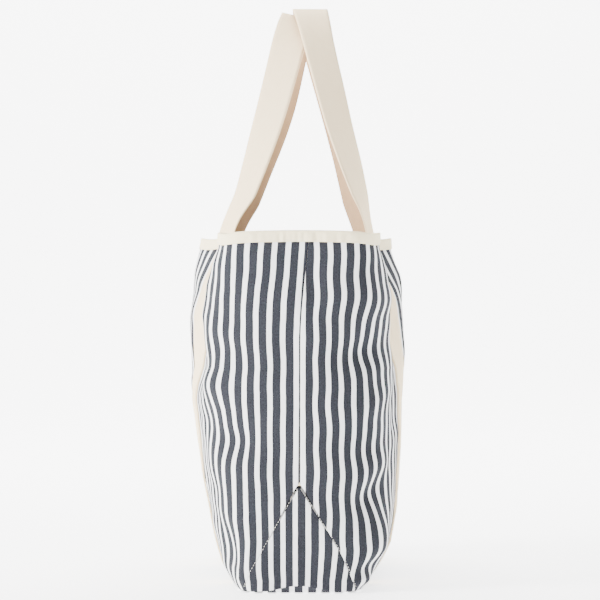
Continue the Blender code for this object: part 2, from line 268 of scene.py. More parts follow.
def folds(q, z):
    """How far the cloth stands out of the smooth body: the listed folds, fine rumples and seams.

    A fold is a Gaussian with its own length, breadth and turn. The rumples are products of sines.
    Both fade at the rim and foot and are calmer under the straps. At a seam the cloth dips.
    """
    m, right = from_seam(q, z)
    out = np.zeros(np.broadcast(q, z).shape)
    for side, end, m0, z0, length, breadth, turn, height in FOLDS:
        here = (np.sign(q) == side) & ((end == 0) | (right == (end > 0)))
        a = math.radians(turn)
        along = (m - m0) * math.cos(a) + (z - z0) * math.sin(a)
        across = (z - z0) * math.cos(a) - (m - m0) * math.sin(a)
        out += here * height * np.exp(-(along / length) ** 2 - (across / breadth) ** 2)
    rumple = 0.0009 * np.sin(61 * m + 23 * z + 0.7) * np.sin(74 * z - 31 * m + 2 * np.sign(q))
    rumple += 0.0006 * np.sin(118 * m - 67 * z + 1.9) * np.sin(131 * z + 44 * m + np.sign(q))
    strap = smooth((0.026 - np.abs(quarter(z) - m - STRAP_CENTRE)) / 0.010)
    out = (out + rumple) * (1 - 0.75 * strap)
    out *= smooth((RIM_TOP - 0.006 - z) / 0.040) * smooth((z - 0.002) / 0.016) * smooth(m / 0.02 + 0.25)
    g = gusset_half(z)
    drift = np.where(right & (z > GUSSET_TOP), seam_drift(z), 0)
    to_edge = np.where(z < GUSSET_TOP, np.abs(m - g), np.abs(np.where(right, q - drift, m)))
    return out - SEAM_DIP * np.exp(-(to_edge / 0.0014) ** 1.5)


def skin(q, z, out=0.0):
    """The cloth's point at q and z, standing out along the outward normal."""
    q, z = np.broadcast_arrays(np.asarray(q, float), np.asarray(z, float))
    across = place(q + SLOPE_STEP, z) - place(q - SLOPE_STEP, z)
    up = place(q, np.minimum(z + SLOPE_STEP, RIM_TOP)) - place(q, np.maximum(z - SLOPE_STEP, 0))
    normal = np.cross(across, up)
    normal /= np.maximum(np.linalg.norm(normal, axis=-1, keepdims=True), 1e-12)
    return place(q, z) + normal * (folds(q, z) + out)[..., None]


def stripe_place(side, q, z):
    """Where a point is on the flat cloth, across its stripes: metres from the right side seam.

    Near an end it is the distance from the seam. Towards the straps it takes up the difference
    between this height's girth and the cloth's, so that the stripes keep their number.
    """
    m, right = from_seam(q, z)
    m = np.where(right, side * q, m)
    even = m - (quarter(z) - QUARTER) * smooth((m - 0.085) / 0.10)
    drag = np.where(right & (side < 0), 0.75 * seam_drift(z) * bell(m, 0, 0.13), 0)
    ripple = 0.0011 * np.sin(52 * z + 19 * m + 1.2) * np.sin(88 * z - 9 * m) * smooth(m / 0.02)
    near = even + drag + (1.0 if side > 0 else 0.45) * ripple
    return np.where(right, near, 2 * QUARTER - near)


def rim_height(q):
    """The rim's height: up at the ends' middles, down at their corners and over the panels."""
    m, _ = from_seam(q, RIM_TOP)
    dips = 0.0022 * bell(m, 0.085, 0.022) + 0.0042 * bell(m, QUARTER - 0.070, 0.034)
    dips += 0.0022 * bell(m, QUARTER, 0.06)
    return RIM_TOP + 0.0004 + 0.0010 * bell(m, 0, 0.05) - dips


def foot_height(q):
    """The base seam's height: it arches up over the middle of each end."""
    m, _ = from_seam(q, 0.004)
    return FOOT_RISE + 0.0060 * bell(m, 0.004, 0.024)


# --- Meshes -----------------------------------------------------------------------------------

def grid_object(name, points, finish, uv=None, wrap=False):
    """A mesh from a grid of points, rows by columns, facing along column step x row step.

    wrap joins the last column to the first. uv, if given, is a grid of the same shape.
    """
    rows, columns = points.shape[:2]
    index = np.arange(rows * columns).reshape(rows, columns)
    right = np.roll(index, -1, 1) if wrap else index[:, 1:]
    left = index if wrap else index[:, :-1]
    quads = np.stack([left[:-1], right[:-1], right[1:], left[1:]], -1).reshape(-1, 4)
    mesh = bpy.data.meshes.new(name)
    mesh.vertices.add(rows * columns)
    mesh.vertices.foreach_set("co", points.reshape(-1).astype(np.float32))
    mesh.loops.add(quads.size)
    mesh.loops.foreach_set("vertex_index", quads.reshape(-1).astype(np.int32))
    mesh.polygons.add(len(quads))
    mesh.polygons.foreach_set("loop_start", np.arange(0, quads.size, 4, dtype=np.int32))
    mesh.update(calc_edges=True)
    mesh.validate()
    if uv is not None:
        layer = mesh.uv_layers.new(name="cloth")
        layer.data.foreach_set("uv", uv.reshape(-1, 2)[quads.reshape(-1)].reshape(-1).astype(np.float32))
    mesh.shade_smooth()
    mesh.materials.append(finish)
    obj = bpy.data.objects.new(name, mesh)
    bpy.context.scene.collection.objects.link(obj)
    return obj


def thicken(obj, thickness):
    """Give a sheet its thickness, inwards from the modelled face."""
    solid = obj.modifiers.new("cloth thickness", "SOLIDIFY")
    solid.thickness = thickness
    solid.offset = -1.0
    return obj


def uneven_steps(count, fine, share):
    """Steps from 0 to 1 that are finer near both ends: fine is their ratio there, share the reach."""
    t = np.linspace(0, 1, count)
    near = np.minimum(t, 1 - t) / share
    width = fine + (1 - fine) * smooth(near)
    steps = np.concatenate([[0], np.cumsum((width[1:] + width[:-1]) / 2)])
    return steps / steps[-1]


def make_stitches(name, centre, along, out, finish, length, radius):
    """A row of thread stitches: each a long bead that lies along the seam and dips at its ends.

    A bead has six rings of six points. Its girth swells from its ends, and it sinks by the
    fourth power of the distance from its middle.
    """
    sides = 6
    ring = np.arange(sides) * math.tau / sides
    station = np.array([-1.0, -0.8, -0.3, 0.3, 0.8, 1.0])
    girth = np.array([0.05, 0.62, 1.0, 1.0, 0.62, 0.05])
    dip = -0.9 * station ** 4 * radius
    along = along / np.linalg.norm(along, axis=-1, keepdims=True)
    out = out - along * (along * out).sum(-1, keepdims=True)
    out /= np.linalg.norm(out, axis=-1, keepdims=True)
    side = np.cross(out, along)
    x = station[:, None] * length / 2 * np.ones(sides)
    y = girth[:, None] * np.cos(ring) * radius
    w = girth[:, None] * np.sin(ring) * radius + dip[:, None]
    local = np.stack([x, y, w], -1).reshape(-1, 3)
    points = (centre[:, None] + local[None, :, :1] * along[:, None]
              + local[None, :, 1:2] * side[:, None] + local[None, :, 2:] * out[:, None])
    index = np.arange(len(local)).reshape(-1, sides)
    after = np.roll(index, -1, 1)
    quads = np.stack([index[:-1], after[:-1], after[1:], index[1:]], -1).reshape(-1, 4)
    first = len(local) * np.arange(len(centre))[:, None, None]
    faces = (quads[None] + first).reshape(-1, 4)
    caps = np.concatenate([index[0][None, ::-1], index[-1][None]])
    caps = (caps[None] + first).reshape(-1, sides)
    mesh = bpy.data.meshes.new(name)
    mesh.from_pydata(points.reshape(-1, 3).tolist(), [], faces.tolist() + caps.tolist())
    mesh.shade_smooth()
    mesh.materials.append(finish)
    obj = bpy.data.objects.new(name, mesh)
    bpy.context.scene.collection.objects.link(obj)
    return obj


# --- Materials --------------------------------------------------------------------------------

def new_group(name, inputs, outputs):
    """An empty shader node group with its sockets, given as name, kind and default."""
    tree = bpy.data.node_groups.new(name, "ShaderNodeTree")
    for label, kind, default in inputs:
        socket = tree.interface.new_socket(name=label, in_out="INPUT", socket_type=kind)
        if default is not None:
            socket.default_value = default
    for label, kind in outputs:
        tree.interface.new_socket(name=label, in_out="OUTPUT", socket_type=kind)
    return tree, tree.nodes.new("NodeGroupInput").outputs, tree.nodes.new("NodeGroupOutput").inputs


def link(tree, value, socket):
    """Join an output to a socket, or set the socket when the value is a number or a colour."""
    if isinstance(value, bpy.types.NodeSocket):
        tree.links.new(value, socket)
    else:
        socket.default_value = value


def maths(tree, operation, a, b=None, c=None, clamp=False):
    """A Math node's output."""
    node = tree.nodes.new("ShaderNodeMath")
    node.operation = operation
    node.use_clamp = clamp
    for value, socket in zip((a, b, c), node.inputs):
        if value is not None:
            link(tree, value, socket)
    return node.outputs[0]


def mixed(tree, share, a, b):
    """A colour Mix node's output."""
    node = tree.nodes.new("ShaderNodeMix")
    node.data_type = "RGBA"
    link(tree, share, node.inputs["Factor"])
    link(tree, a, node.inputs["A"])
    link(tree, b, node.inputs["B"])
    return node.outputs["Result"]


def noise(tree, vector, scale, detail=2.0, rough=0.5):
    """A Noise Texture's value."""
    node = tree.nodes.new("ShaderNodeTexNoise")
    link(tree, vector, node.inputs["Vector"])
    node.inputs["Scale"].default_value = scale
    node.inputs["Detail"].default_value = detail
    node.inputs["Roughness"].default_value = rough
    return node.outputs["Fac"]


def stretched(tree, x, y, x_scale, y_scale):
    """A vector of x and y, each scaled, for patterns that are drawn out along a yarn."""
    node = tree.nodes.new("ShaderNodeCombineXYZ")
    link(tree, maths(tree, "MULTIPLY", x, x_scale), node.inputs[0])
    link(tree, maths(tree, "MULTIPLY", y, y_scale), node.inputs[1])
    return node.outputs[0]


def weave_group():
    """Plain weave: the height of crossing yarns, and how light each yarn is.

    The height is the product of two sines, one over each yarn pitch. Slubs are noise drawn out
    along the warp and along the weft.
    """
    tree, given, result = new_group(
        "plain_weave",
        [("X", "NodeSocketFloat", None), ("Y", "NodeSocketFloat", None),
         ("Warp Pitch", "NodeSocketFloat", 0.0005), ("Weft Pitch", "NodeSocketFloat", 0.0005)],
        [("Height", "NodeSocketFloat"), ("Over", "NodeSocketFloat"), ("Slub", "NodeSocketFloat")],
    )
    turn_x = maths(tree, "DIVIDE", maths(tree, "MULTIPLY", given["X"], math.pi), given["Warp Pitch"])
    turn_y = maths(tree, "DIVIDE", maths(tree, "MULTIPLY", given["Y"], math.pi), given["Weft Pitch"])
    cross = maths(tree, "MULTIPLY", maths(tree, "SINE", turn_x), maths(tree, "SINE", turn_y))
    warp_slub = noise(tree, stretched(tree, given["X"], given["Y"], 1900.0, 110.0), 1.0, 2.0)
    weft_slub = noise(tree, stretched(tree, given["X"], given["Y"], 110.0, 1900.0), 1.0, 2.0)
    slub = maths(tree, "MULTIPLY", maths(tree, "ADD", warp_slub, weft_slub), 0.5)
    tree.links.new(maths(tree, "ABSOLUTE", cross), result["Height"])
    tree.links.new(maths(tree, "MULTIPLY_ADD", cross, 0.5, 0.5), result["Over"])
    tree.links.new(slub, result["Slub"])
    return tree


def start_material(name, roughness, sheen):
    """A material with a Principled BSDF, and the piece's own flat place as x and y in metres."""
    made = bpy.data.materials.new(name)
    made.use_nodes = True
    tree = made.node_tree
    shader = tree.nodes["Principled BSDF"]
    shader.inputs["Roughness"].default_value = roughness
    shader.inputs["Sheen Weight"].default_value = sheen
    shader.inputs["Sheen Roughness"].default_value = 0.6
    shader.inputs["Specular IOR Level"].default_value = 0.15
    place_on = tree.nodes.new("ShaderNodeUVMap")
    place_on.uv_map = "cloth"
    apart = tree.nodes.new("ShaderNodeSeparateXYZ")
    tree.links.new(place_on.outputs[0], apart.inputs[0])
    return made, tree, shader, apart.outputs[0], apart.outputs[1]


def use_weave(tree, x, y, warp, weft):
    """The weave group placed in a material, with its yarn pitches."""
    node = tree.nodes.new("ShaderNodeGroup")
    node.node_tree = bpy.data.node_groups["plain_weave"]
    link(tree, x, node.inputs["X"])
    link(tree, y, node.inputs["Y"])
    node.inputs["Warp Pitch"].default_value = warp
    node.inputs["Weft Pitch"].default_value = weft
    return node.outputs


def add_bump(tree, shader, height, distance, strength):
    """A Bump node on the shader's normal."""
    node = tree.nodes.new("ShaderNodeBump")
    node.inputs["Strength"].default_value = strength
    node.inputs["Distance"].default_value = distance
    tree.links.new(height, node.inputs["Height"])
    tree.links.new(node.outputs[0], shader.inputs["Normal"])


def canvas_material(look):
    """Striped canvas: chambray bands on white, with fine grey warp lines in the white."""
    made, tree, shader, x, y = start_material("canvas_cloth", 0.90, 0.04)
    weave = use_weave(tree, x, y, *CANVAS_YARNS)
    edge_sharpness, line_sharpness = 2500.0, -7000.0
    wander = noise(tree, stretched(tree, x, y, 60.0, 90.0), 1.0, 2.0)
    across = maths(tree, "ADD", x, maths(tree, "MULTIPLY", maths(tree, "SUBTRACT", wander, 0.5), 0.0006))
    cycle = maths(tree, "FRACT", maths(tree, "DIVIDE", across, look.stripe_pitch))
    from_middle = maths(tree, "ABSOLUTE", maths(tree, "SUBTRACT", cycle, 0.5))
    apart = maths(tree, "MULTIPLY", from_middle, look.stripe_pitch)
    inside = maths(tree, "SUBTRACT", look.band_width / 2, apart)
    band = maths(tree, "MULTIPLY_ADD", inside, edge_sharpness, 0.5, clamp=True)
    heather = noise(tree, stretched(tree, x, y, 900.0, 520.0), 1.0, 3.0, 0.65)
    streak = noise(tree, stretched(tree, x, y, 2200.0, 60.0), 1.0, 2.0)
    fleck = maths(tree, "MULTIPLY_ADD", weave["Over"], 0.35, maths(tree, "MULTIPLY_ADD", heather, 1.5, -0.55))
    dark = mixed(tree, maths(tree, "ADD", fleck, maths(tree, "MULTIPLY", streak, 0.25), clamp=True),
                 tuple(look.band_dark) + (1,), tuple(look.band_light) + (1,))
    offset = maths(tree, "SUBTRACT", look.stripe_pitch / 2, apart)
    white_half = (look.stripe_pitch - look.band_width) / 2
    middle_line = maths(tree, "MULTIPLY_ADD", maths(tree, "ABSOLUTE", offset), line_sharpness, 1.0, clamp=True)
    off_line = maths(tree, "ABSOLUTE", maths(tree, "SUBTRACT", offset, white_half * 0.52))
    side_line = maths(tree, "MULTIPLY_ADD", off_line, line_sharpness, 1.0, clamp=True)
    lines = maths(tree, "MULTIPLY", maths(tree, "MAXIMUM", middle_line, side_line), 0.30)
    pale = mixed(tree, maths(tree, "MULTIPLY_ADD", weave["Slub"], 0.55, -0.12, clamp=True),
                 tuple(look.ground_light) + (1,), tuple(look.ground_shade) + (1,))
    pale = mixed(tree, lines, pale, (0.40, 0.41, 0.45, 1))
    tree.links.new(mixed(tree, band, pale, dark), shader.inputs["Base Color"])
    height = maths(tree, "ADD", weave["Height"], maths(tree, "MULTIPLY", weave["Slub"], 0.8))
    add_bump(tree, shader, height, 0.00022, 0.55)
    return made


def ribbed_material(name, colour, mottle_and_painted_shade, rib, weft, relief):
    """Cotton tape or webbing: ribs along its length, fine weft across, and painted shade, darker and warmer, in
    the hollows between the ribs, mixed with random mottle.
    """
    made, tree, shader, x, y = start_material(name, 0.88, 0.06)
    weave = use_weave(tree, x, y, rib, weft)
    ribs = maths(tree, "ABSOLUTE", maths(tree, "SINE", maths(tree, "MULTIPLY", x, math.pi / rib)))
    mottle = noise(tree, stretched(tree, x, y, 140.0, 70.0), 1.0, 3.0)
    # share lays on painted shade in the hollows between the ribs, plus random mottle and slubs
    share = maths(tree, "MULTIPLY_ADD", maths(tree, "SUBTRACT", 1.0, ribs), 0.28,
                  maths(tree, "MULTIPLY_ADD", mottle, 0.5, maths(tree, "MULTIPLY", weave["Slub"], 0.35)))
    share = maths(tree, "SUBTRACT", share, 0.25, clamp=True)
    tree.links.new(mixed(tree, share, (*colour, 1), (*mottle_and_painted_shade, 1)), shader.inputs["Base Color"])
    height = maths(tree, "ADD", maths(tree, "MULTIPLY", ribs, 0.7), weave["Height"])
    add_bump(tree, shader, height, relief, 0.6)
    return made


def thread_material(name, colour):
    """Sewing thread: plied yarn, with slanting strands, and painted shade that darkens the grooves between
    them.
    """
    made = bpy.data.materials.new(name)
    made.use_nodes = True
    tree = made.node_tree
    shader = tree.nodes["Principled BSDF"]
    shader.inputs["Roughness"].default_value = 0.6
    place_on = tree.nodes.new("ShaderNodeTexCoord")
    wave = tree.nodes.new("ShaderNodeTexWave")
    wave.bands_direction = "DIAGONAL"
    wave.inputs["Scale"].default_value = 900.0
    tree.links.new(place_on.outputs["Object"], wave.inputs["Vector"])
    # Painted shade: the thread is darker in the grooves between its strands
    groove_painted_shade = tuple(c * 0.82 for c in colour)
    tree.links.new(mixed(tree, wave.outputs["Fac"], (*groove_painted_shade, 1), (*colour, 1)), shader.inputs["Base Color"])
    add_bump(tree, shader, wave.outputs["Fac"], 0.0001, 0.4)
    return made


def floor_material():
    """A pale studio floor, very slightly mottled."""
    made = bpy.data.materials.new("studio_floor")
    made.use_nodes = True
    tree = made.node_tree
    shader = tree.nodes["Principled BSDF"]
    shader.inputs["Roughness"].default_value = 0.9
    place_on = tree.nodes.new("ShaderNodeTexCoord")
    tree.links.new(mixed(tree, noise(tree, place_on.outputs["Object"], 1.5), (0.94, 0.94, 0.94, 1),
                         (0.96, 0.96, 0.96, 1)), shader.inputs["Base Color"])
    shader.inputs["Emission Color"].default_value = (1.0, 1.0, 1.0, 1)
    shader.inputs["Emission Strength"].default_value = 2.2
    return made


def material_named(name, maker, *args):
    """A material by name, made the first time that it is asked for."""
    return bpy.data.materials.get(name) or maker(*args)


def canvas():
    """The striped canvas, with the weave group made first."""
    if "plain_weave" not in bpy.data.node_groups:
        weave_group()
    return material_named("canvas_cloth", canvas_material, bpy.context.scene.tote_cloth)


def ribbed(name, colour, mottle_and_painted_shade, yarns, relief):
    """A ribbed cotton material by name, in the add-on's colours."""
    return material_named(name, ribbed_material, name, tuple(colour), tuple(mottle_and_painted_shade), *yarns, relief)


def webbing_finish(inner=False):
    """The webbing's outer face, or its inner one, which is painted shade: a darker, warmer copy of the webbing
    for the shaded inside of the handles.
    """
    look = bpy.context.scene.tote_webbing
    if inner:
        return ribbed("webbing_inside", look.inside, look.inside_mottle_and_painted_shade, WEBBING_YARNS, 0.00025)
    return ribbed("webbing_cloth", look.colour, look.mottle_and_painted_shade, WEBBING_YARNS, 0.00025)


def tape_finish():
    """The tape of the rim and the seams."""
    look = bpy.context.scene.tote_webbing
    return ribbed("tape_cloth", look.tape_colour, look.tape_mottle_and_painted_shade, TAPE_YARNS, 0.0002)


# --- Pieces -----------------------------------------------------------------------------------

def make_panel(side):
    """A canvas panel: the body surface from one side seam round its face to the other.

    Rows run from the base seam to under the binding, and columns from seam to seam, finer at
    both seams. Below the gusset's tip the columns start at the gusset's edge.
    """
    cloth = bpy.context.scene.tote_cloth
    name = SIDE_NAME[side]
    row = np.linspace(0, 1, 146)[:, None] ** 1.15
    column = uneven_steps(212, 0.3, 0.05)[None, :]
    rough_z = 0.002 + (RIM_TOP - 0.004) * row
    near = gusset_half(rough_z) + SEAM_GAP
    far = 2 * quarter(rough_z) - near
    near = near + side * np.where(rough_z > GUSSET_TOP, seam_drift(rough_z), 0)
    m = near + (far - near) * column
    q = side * m
    if side < 0:
        q = q[:, ::-1]
    z = foot_height(q) + (rim_height(q) - 0.0016 - foot_height(q)) * row
    edge = gusset_half(z) + SEAM_GAP
    q = np.where(z < GUSSET_TOP, np.sign(q) * np.clip(np.abs(q), edge, 2 * quarter(z) - edge), q)
    phase = cloth.phase_front if side < 0 else cloth.phase_back
    uv = np.stack([stripe_place(side, q, z) + phase, z], -1)
    obj = thicken(grid_object(name + "_panel_cloth", skin(q, z), canvas(), uv), cloth.thickness)
    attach(obj, "bag")
    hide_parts(name + "_panel")
    return obj


def make_gusset(end):
    """A triangle of canvas at one end, from the base seam to its tip, between the two panels."""
    cloth = bpy.context.scene.tote_cloth
    row, column = np.linspace(0, 1, 60)[:, None], np.linspace(-1, 1, 81)[None, :]
    level = FOOT_RISE + (GUSSET_TOP - FOOT_RISE - 0.0004) * row
    q = column * gusset_half(level)
    z = level + (foot_height(q) - FOOT_RISE) * (1 - row) ** 2
    around = 2 * quarter(z)
    there = q if end > 0 else np.where(q < 0, q + around, q - around)
    uv = np.stack([q + cloth.phase_gusset, z], -1)
    obj = thicken(grid_object(END_NAME[end] + "_gusset_cloth", skin(there, z), canvas(), uv),
                  cloth.thickness)
    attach(obj, "bag")
    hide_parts(END_NAME[end] + "_end_gusset")
    return obj


def make_base():
    """The base: rings of the foot's outline drawn in to the middle, with an edge that turns up.

    A ring's points are the outline's times its share, and its height falls from the base seam's
    to the floor over the outer 3 per cent.
    """
    cloth = bpy.context.scene.tote_cloth
    around = 2 * quarter(np.array(0.002))
    q = np.linspace(-around, around, 480, endpoint=False)[None, :]
    share = np.concatenate([np.linspace(1, 0.97, 8), np.linspace(0.97, 0, 40)[1:]])[:, None]
    share[-1] = 1e-5
    edge = skin(q, foot_height(q))
    rim = edge * share[..., None]
    drop = smooth((share - 0.972) / 0.028)
    z = 0.0006 + (foot_height(q) - 0.0010) * drop
    points = np.concatenate([rim[..., :2], (z * np.ones_like(q))[..., None]], -1)
    uv = np.stack([points[..., 1] + cloth.phase_base, points[..., 0]], -1)
    obj = thicken(grid_object("base_cloth", points[:, ::-1], canvas(), uv[:, ::-1], wrap=True),
                  cloth.thickness * 0.6)
    close_poles(obj)
    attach(obj, "bag")
    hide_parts("base_panel")
    return obj


def close_poles(obj):
    """Merge the points that a pole's last ring has in one place."""
    shape = bmesh.new()
    shape.from_mesh(obj.data)
    bmesh.ops.remove_doubles(shape, verts=shape.verts, dist=2e-5)
    shape.to_mesh(obj.data)
    shape.free()
    obj.data.shade_smooth()


# The binding's wrinkles near the right end: height, middle along the rim and half width
WRINKLES = ((0.0013, 0.010, 0.003), (0.0009, 0.028, 0.004), (-0.0007, 0.019, 0.004), (0.0007, 0.058, 0.005),
            (0.0006, -0.047, 0.006))


def make_binding():
    """Tape folded over the rim: up the outside, round the cut edge and down the inside.

    The profile is two straight sides joined by a half circle. It puckers where it was sewn
    round the ends.
    """
    around = 2 * quarter(np.array(RIM_TOP))
    q = np.linspace(-around, around, 820, endpoint=False)[None, :]
    tall, reach, middle = 0.0120, 0.0015, -0.0004
    u = np.concatenate([np.linspace(0, 1, 11), np.linspace(1, 3, 17)[1:]])[:, None]
    turn = np.clip(u - 1, 0, 1) * math.pi
    out = middle + reach * np.cos(turn)
    down = np.where(u < 1, (1 - u), np.where(u > 2, (u - 2), 0)) * (tall - reach)
    z = rim_height(q) - reach - down + reach * np.sin(turn)
    seam = bell(down, tall - reach - 0.0018, 0.0007)
    pucker = 0.00035 * np.sin(900 * q + 2.5 * np.sin(70 * q)) * bell(np.abs(q), 0.014, 0.05)
    pucker += 0.00022 * np.sin(560 * q + 3 * np.sin(41 * q))
    wrinkle = sum(height * bell(q, at, reach_along) for height, at, reach_along in WRINKLES)
    face = np.cos(turn)
    out = out + face * (0.0003 - 0.00045 * seam + (pucker + wrinkle) * smooth(down / 0.003))
    low = np.minimum(z, RIM_TOP)
    points = skin(q * np.ones_like(u), low, out)
    points[..., 2] += z - low
    uv = np.stack([np.broadcast_to(u * 0.011, points.shape[:2]), np.broadcast_to(q, points.shape[:2])], -1)
    obj = thicken(grid_object("rim_tape", points, tape_finish(), uv, wrap=True), 0.0005)
    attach(obj, "bag")
    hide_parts("rim_binding")
    return obj


# How each leg of a handle runs, by side and end, at shares of its rise: how far its middle is
# from the bag's middle, in millimetres, and its turn from the rim's line, in degrees.
LEG_SHARES = (0.0, 0.05, 0.14, 0.25, 0.38, 0.48, 0.59, 0.69, 0.80, 0.90, 1.0)
LEGS = {
    (-1, 1): ((74.5, 69.0, 60.1, 50.8, 41.9, 33.8, 27.2, 20.9, 14.6, 8.8, 0.0),
              (28, 31, 35, 40, 51, 57, 60, 62, 64, 70, 88)),
    (-1, -1): ((71.0, 67.0, 59.0, 51.5, 40.0, 31.5, 22.5, 17.0, 12.0, 7.0, 0.0),
               (28, 31, 35, 40, 51, 57, 60, 62, 64, 70, 88)),
    (1, 1): ((77.2, 73.5, 65.5, 59.3, 48.2, 41.3, 35.0, 28.8, 22.2, 17.0, 11.5),
             (6, 14, 26, 35, 44, 49, 53, 57, 59, 64, 88)),
    (1, -1): ((71.0, 68.0, 62.5, 58.5, 52.0, 46.0, 39.0, 32.0, 24.5, 18.0, 11.5),
              (30, 31, 35, 40, 46, 50, 54, 57, 60, 66, 88)),
}
CROWN_TILT = {-1: 14.0, 1: 0.0}     # the lower handle slopes down under the upper one
CROWN_DROP = {-1: 0.0058, 1: 0.0010}   # a crown's middle under the CAD's highest point
LOOP_SPREAD = {-1: 0.0, 1: 0.0075}     # how much wider a loop is than its legs stand apart


def even_out(values, reach=12):
    """A running mean, with the ends held."""
    count = 2 * reach + 1
    return np.convolve(np.pad(values, reach, mode="edge"), np.ones(count) / count, "valid")


def loop_frames(side, angle):
    """Middle, outer-edge direction and outward normal of a handle's webbing at angles round it.

    The angle runs from 0 at the right leg's foot to half a turn at the left one's. x is the
    strap's place times cos and the height is the rise times sin. The tables give the rest.
    """
    up = np.sin(angle)
    right = np.cos(angle) >= 0
    rise = CROWN_TOP[side] - CROWN_DROP[side] - RIM_TOP
    x = (STRAP_CENTRE + LOOP_SPREAD[side] * up) * np.cos(angle)
    y, turn = (np.where(right, np.interp(up, LEG_SHARES, near), np.interp(up, LEG_SHARES, far))
               for near, far in zip(LEGS[side, 1], LEGS[side, -1]))
    y, turn = side * even_out(y) / 1000, np.radians(even_out(turn))
    middle = np.stack([x, y, RIM_TOP + rise * up], -1)
    way = np.gradient(middle, axis=0)
    way /= np.linalg.norm(way, axis=-1, keepdims=True)
    turn = np.where(right, turn, math.pi - turn)
    flat = np.stack([np.cos(turn), -side * np.sin(turn), np.zeros_like(turn)], -1)
    flat -= way * (flat * way).sum(-1, keepdims=True)
    flat /= np.linalg.norm(flat, axis=-1, keepdims=True)
    normal = np.cross(way, flat) * side
    lean = (math.radians(CROWN_TILT[side]) * up ** 3)[:, None]
    return middle, flat * np.cos(lean) - normal * np.sin(lean), normal * np.cos(lean) + flat * np.sin(lean)


def strap_lift(z):
    """How far a strap's outer face stands off the panel: more where it crosses the binding."""
    return 0.0022 + 0.0016 * smooth((z - (RIM_TOP - 0.020)) / 0.008)


def strap_q(side, end, z, across):
    """q on a strap leg, across metres from its middle towards its outer edge."""
    return side * (quarter(z) - end * (STRAP_CENTRE + across))


def make_webbing(side):
    """One length of webbing: up a panel, over the mouth as a handle and down the panel again.

    Its rows are the right leg's, from the foot to the rim, then the loop's, then the left leg's.
    Over the first stretch above the rim the rows pass smoothly from the leg's own slope to the
    loop's line.
    """
    look = bpy.context.scene.tote_webbing
    name = SIDE_NAME[side]
    passing = 0.045
    across = np.linspace(side, -side, 13)[None, :] * look.width / 2
    leg_z = np.linspace(0.0065, RIM_TOP, 130)[:, None]
    legs = {end: skin(strap_q(side, end, leg_z, across), leg_z, strap_lift(leg_z)) for end in (1, -1)}
    angle = np.linspace(0, math.pi, 280)
    middle, flat, normal = loop_frames(side, angle)
    loop = middle[:, None] + flat[:, None] * across[..., None] + normal[:, None] * look.thickness / 2
    height = (middle[:, 2] - RIM_TOP)[:, None, None]
    share = smooth(height / passing)
    first = (angle < math.pi / 2)[:, None, None]
    rise = {end: (leg[-1] - leg[-12]) / (leg[-1] - leg[-12])[:, 2:] for end, leg in legs.items()}
    start = np.where(first, legs[1][-1], legs[-1][-1]) + height * np.where(first, rise[1], rise[-1])
    loop = start * (1 - share) + loop * share
    points = np.concatenate([legs[1], loop[1:-1], legs[-1][::-1]])
    step = np.linalg.norm(np.diff(points[:, 6], axis=0), axis=-1)
    along = np.concatenate([[0], np.cumsum(step)])
    uv = np.stack(np.broadcast_arrays(across, along[:, None]), -1)
    obj = thicken(grid_object(name + "_webbing", points, webbing_finish(), uv), look.thickness)
    # The inner face takes the painted-shade copy of the webbing
    obj.data.materials.append(webbing_finish(inner=True))
    obj.modifiers[0].material_offset = 1
    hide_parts(*(f"{name}_{part}" for part in ("right_strap", "left_strap", "handle")))
    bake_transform(obj)
    return obj


def make_seam_tape(end):
    """The tape that covers a side seam inside the bag, from the gusset's tip to the binding."""
    half = 0.0065
    row, column = np.linspace(0, 1, 90)[:, None], np.linspace(-1, 1, 9)[None, :]
    z = GUSSET_TOP + 0.0012 + (RIM_TOP - 0.0072 - GUSSET_TOP) * row
    drift = seam_drift(z) if end > 0 else 0.0
    q = drift + half * column + (0 if end > 0 else 2 * quarter(z))
    q = np.where(q > 2 * quarter(z), q - 4 * quarter(z), q)
    uv = np.stack(np.broadcast_arrays(column * half, z), -1)
    points = skin(q, z, -0.0021 - 0.0003 * column ** 2)
    obj = grid_object(END_NAME[end] + "_seam_tape", points[:, ::-1], tape_finish(), uv)
    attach(thicken(obj, 0.0005), "bag")
    return obj


def sew(name, lines):
    """Stitches along lines, each given as q, z and how far out, with a stitch at every pitch."""
    look = bpy.context.scene.tote_stitch
    centre, along, out = [], [], []
    for q, z, lift in lines:
        q, z, lift = np.broadcast_arrays(q, z, lift)
        path = skin(q, z, lift)
        far = np.concatenate([[0], np.cumsum(np.linalg.norm(np.diff(path, axis=0), axis=-1))])
        at = np.arange(look.pitch / 2, far[-1] - look.pitch / 2, look.pitch)
        q, z, lift = (np.interp(at, far, v) for v in (q, z, lift))
        here = skin(q, z, lift)
        centre.append(here)
        along.append(np.gradient(here, axis=0))
        out.append(skin(q, z, lift + 0.002) - here)
    thread = material_named("white_thread", thread_material, "white_thread", tuple(look.colour))
    rows = (np.concatenate(v) for v in (centre, along, out))
    obj = make_stitches(name, *rows, thread, look.length, look.radius)
    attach(obj, "bag")
    return obj


def make_stitching():
    """Rows of stitches: the binding's lower edge, each strap leg's edges and the gussets' edges."""
    look = bpy.context.scene.tote_stitch
    around = 2 * quarter(np.array(RIM_TOP))
    q = np.linspace(-around, around, 1500)
    made = [sew("binding_stitches", [(q, rim_height(q) - 0.0101, 0.0012)])]
    z = np.linspace(0.0085, RIM_TOP - 0.0035, 300)
    edge = bpy.context.scene.tote_webbing.width / 2 - look.inset
    lines = [(strap_q(side, end, z, e * edge), z, strap_lift(z))
             for side in (-1, 1) for end in (-1, 1) for e in (-1, 1)]
    made.append(sew("strap_stitches", lines))
    z = np.linspace(0.006, GUSSET_TOP - 0.001, 120)
    beside = gusset_half(z) + 0.0011
    lines = [(e * place_round, z, 0.0001) for place_round in (beside, 2 * quarter(z) - beside) for e in (-1, 1)]
    made.append(sew("gusset_stitches", lines))
    return made


# --- Studio -----------------------------------------------------------------------------------

